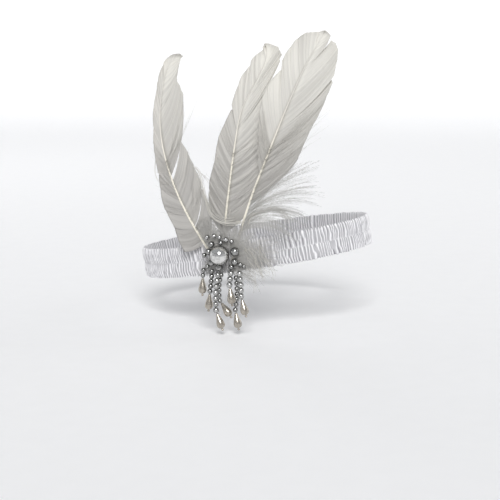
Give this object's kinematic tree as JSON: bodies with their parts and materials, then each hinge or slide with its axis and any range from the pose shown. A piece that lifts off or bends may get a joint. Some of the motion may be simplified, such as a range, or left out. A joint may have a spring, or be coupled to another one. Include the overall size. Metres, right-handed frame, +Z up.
{
  "type": "feathered flapper headband",
  "caption": "Stretch band of ruched satin with tall curled feathers at one temple, a puff of down and a beaded brooch with hanging bead strings and pear drops.",
  "frame": {"origin": "middle of the opening that the head fills, in the plane of the band", "axes": "+Z up, the wearer faces -Y, the brooch and feathers are at the wearer's right temple, on the -X side; the band's front is tilted up by 10 degrees"},
  "size_m": [0.1816, 0.2001, 0.2272],
  "materials": {
    "ruched_satin": "white satin gathered over elastic, soft sheen with cool shadows in the folds",
    "goose_feather": "off-white feather vane with fine barbs and a cream shaft, matt",
    "loose_down": "pale grey down, thin and half see-through",
    "mirror_silver": "bright mirror plating",
    "dark_silver": "dark silver plating, polished",
    "champagne_pearl": "champagne pearl lustre"
  },
  "bodies": {
    "root": {"band": "ruched_satin", "feather_back": "goose_feather", "feather_middle": "goose_feather", "feather_front": "goose_feather", "down_tuft": "loose_down", "centre_bead": "mirror_silver", "bead_ring": "dark_silver", "bead_crown": "dark_silver", "strand_1": "dark_silver", "strand_2": "dark_silver", "strand_3": "dark_silver", "strand_4": "dark_silver", "strand_5": "dark_silver", "strand_6": "dark_silver", "strand_7": "dark_silver", "drop_1": "champagne_pearl", "drop_2": "champagne_pearl", "drop_3": "champagne_pearl", "drop_4": "champagne_pearl", "drop_5": "champagne_pearl", "drop_6": "champagne_pearl", "drop_7": "champagne_pearl"}
  },
  "joints": []
}
